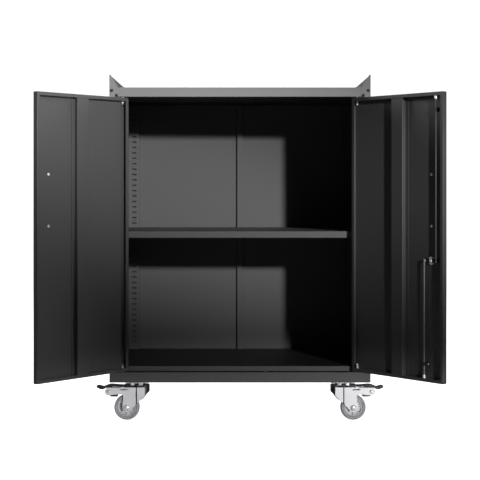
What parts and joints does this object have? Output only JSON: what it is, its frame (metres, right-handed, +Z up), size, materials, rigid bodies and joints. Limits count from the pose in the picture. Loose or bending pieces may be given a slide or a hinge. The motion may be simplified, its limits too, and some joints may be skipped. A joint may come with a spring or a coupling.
{
  "type": "rolling tool chest",
  "caption": "Black steel tool chest on swivel casters, with swinging doors, an adjustable shelf, a grey top tray between side guards and a rod lock.",
  "frame": {"origin": "on the floor, at the centre of the whole chest's footprint with its doors open as modelled", "axes": "+X to the chest's right side as seen by a person facing its doors, +Y to its back, +Z up"},
  "size_m": [1.128, 0.7218, 1.0139],
  "materials": {
    "black_paint": "satin black powder coat",
    "grey_paint": "satin grey powder coat",
    "zinc": "zinc plated",
    "pressed_steel": "bright zinc on pressed steel",
    "grey_rubber": "matte grey thermoplastic rubber",
    "grey_plastic": "moulded grey nylon",
    "black_plastic": "matte black"
  },
  "bodies": {
    "cabinet": {"base_frame": "black_paint", "floor_panel": "black_paint", "back_seam_channel": "black_paint", "shelf": "black_paint", "side_panel_left": "black_paint", "back_panel_left": "black_paint", "side_guard_left": "grey_paint", "upright_front_left": "black_paint", "shelf_clip_front_left": "zinc", "upright_rear_left": "black_paint", "shelf_clip_rear_left": "zinc", "side_panel_right": "black_paint", "back_panel_right": "black_paint", "side_guard_right": "grey_paint", "upright_front_right": "black_paint", "shelf_clip_front_right": "zinc", "upright_rear_right": "black_paint", "shelf_clip_rear_right": "zinc", "top_tray": "grey_paint", "caster_plate_front_left": "pressed_steel", "caster_plate_front_right": "pressed_steel", "caster_plate_rear_left": "pressed_steel", "caster_plate_rear_right": "pressed_steel"},
    "door_left": {"door_panel_left": "black_paint", "door_stiffener_left": "black_paint", "door_handle_left": "black_paint", "hinge_pin_upper_left": "zinc", "hinge_pin_lower_left": "zinc"},
    "door_right": {"door_panel_right": "black_paint", "door_stiffener_right": "black_paint", "door_handle_right": "black_paint", "hinge_pin_upper_right": "zinc", "hinge_pin_lower_right": "zinc", "lock_cylinder": "zinc"},
    "lock_cam": {"lock_cam": "zinc"},
    "lock_rod_upper": {"lock_rod_upper": "zinc"},
    "lock_rod_lower": {"lock_rod_lower": "zinc"},
    "swivel_front_left": {"caster_fork_front_left": "pressed_steel", "caster_axle_front_left": "zinc"},
    "wheel_front_left": {"caster_tyre_front_left": "grey_rubber", "caster_hub_front_left": "grey_plastic"},
    "brake_front_left": {"caster_brake_front_left": "black_plastic"},
    "swivel_front_right": {"caster_fork_front_right": "pressed_steel", "caster_axle_front_right": "zinc"},
    "wheel_front_right": {"caster_tyre_front_right": "grey_rubber", "caster_hub_front_right": "grey_plastic"},
    "brake_front_right": {"caster_brake_front_right": "black_plastic"},
    "swivel_rear_left": {"caster_fork_rear_left": "pressed_steel", "caster_axle_rear_left": "zinc"},
    "wheel_rear_left": {"caster_tyre_rear_left": "grey_rubber", "caster_hub_rear_left": "grey_plastic"},
    "swivel_rear_right": {"caster_fork_rear_right": "pressed_steel", "caster_axle_rear_right": "zinc"},
    "wheel_rear_right": {"caster_tyre_rear_right": "grey_rubber", "caster_hub_rear_right": "grey_plastic"}
  },
  "joints": [
    {"name": "door_left_hinge", "type": "hinge", "parent": "cabinet", "child": "door_left", "pos_m": [-0.3424, -0.09159, 0.548], "axis": [0, 0, -1], "range_deg": [-129.7, 8.3]},
    {"name": "door_right_hinge", "type": "hinge", "parent": "cabinet", "child": "door_right", "pos_m": [0.3424, -0.09159, 0.548], "axis": [0, 0, 1], "range_deg": [-129.7, 8.3]},
    {"name": "lock_turn", "type": "hinge", "parent": "door_right", "child": "lock_cam", "pos_m": [0.52515, -0.31484, 0.4835], "axis": [-0.7694, -0.6388, 0], "range_deg": [0, 90]},
    {"name": "lock_rod_upper_slide", "type": "slide", "parent": "door_right", "child": "lock_rod_upper", "axis": [0, 0, 1], "range_m": [0, 0.0215]},
    {"name": "lock_rod_lower_slide", "type": "slide", "parent": "door_right", "child": "lock_rod_lower", "axis": [0, 0, -1], "range_m": [0, 0.0216]},
    {"name": "swivel_front_left", "type": "hinge", "parent": "cabinet", "child": "swivel_front_left", "pos_m": [-0.303, -0.04259, 0.102], "axis": [0, 0, 1], "continuous": true},
    {"name": "wheel_front_left", "type": "hinge", "parent": "swivel_front_left", "child": "wheel_front_left", "pos_m": [-0.334, -0.04259, 0.0375], "axis": [0, 1, 0], "continuous": true},
    {"name": "brake_front_left", "type": "hinge", "parent": "swivel_front_left", "child": "brake_front_left", "pos_m": [-0.387, -0.04259, 0.0851], "axis": [0, -1, 0], "range_deg": [0, 8]},
    {"name": "swivel_front_right", "type": "hinge", "parent": "cabinet", "child": "swivel_front_right", "pos_m": [0.303, -0.04259, 0.102], "axis": [0, 0, 1], "continuous": true},
    {"name": "wheel_front_right", "type": "hinge", "parent": "swivel_front_right", "child": "wheel_front_right", "pos_m": [0.334, -0.04259, 0.0375], "axis": [0, 1, 0], "continuous": true},
    {"name": "brake_front_right", "type": "hinge", "parent": "swivel_front_right", "child": "brake_front_right", "pos_m": [0.387, -0.04259, 0.0851], "axis": [0, 1, 0], "range_deg": [0, 8]},
    {"name": "swivel_rear_left", "type": "hinge", "parent": "cabinet", "child": "swivel_rear_left", "pos_m": [-0.303, 0.30441, 0.102], "axis": [0, 0, 1], "continuous": true},
    {"name": "wheel_rear_left", "type": "hinge", "parent": "swivel_rear_left", "child": "wheel_rear_left", "pos_m": [-0.334, 0.30441, 0.0375], "axis": [0, 1, 0], "continuous": true},
    {"name": "swivel_rear_right", "type": "hinge", "parent": "cabinet", "child": "swivel_rear_right", "pos_m": [0.303, 0.30441, 0.102], "axis": [0, 0, 1], "continuous": true},
    {"name": "wheel_rear_right", "type": "hinge", "parent": "swivel_rear_right", "child": "wheel_rear_right", "pos_m": [0.334, 0.30441, 0.0375], "axis": [0, 1, 0], "continuous": true}
  ],
  "couplings": [
    {"joint": "lock_turn", "follows": "lock_rod_upper_slide", "rad_per_m": 73.06},
    {"joint": "lock_rod_lower_slide", "follows": "lock_rod_upper_slide", "ratio": 1}
  ]
}
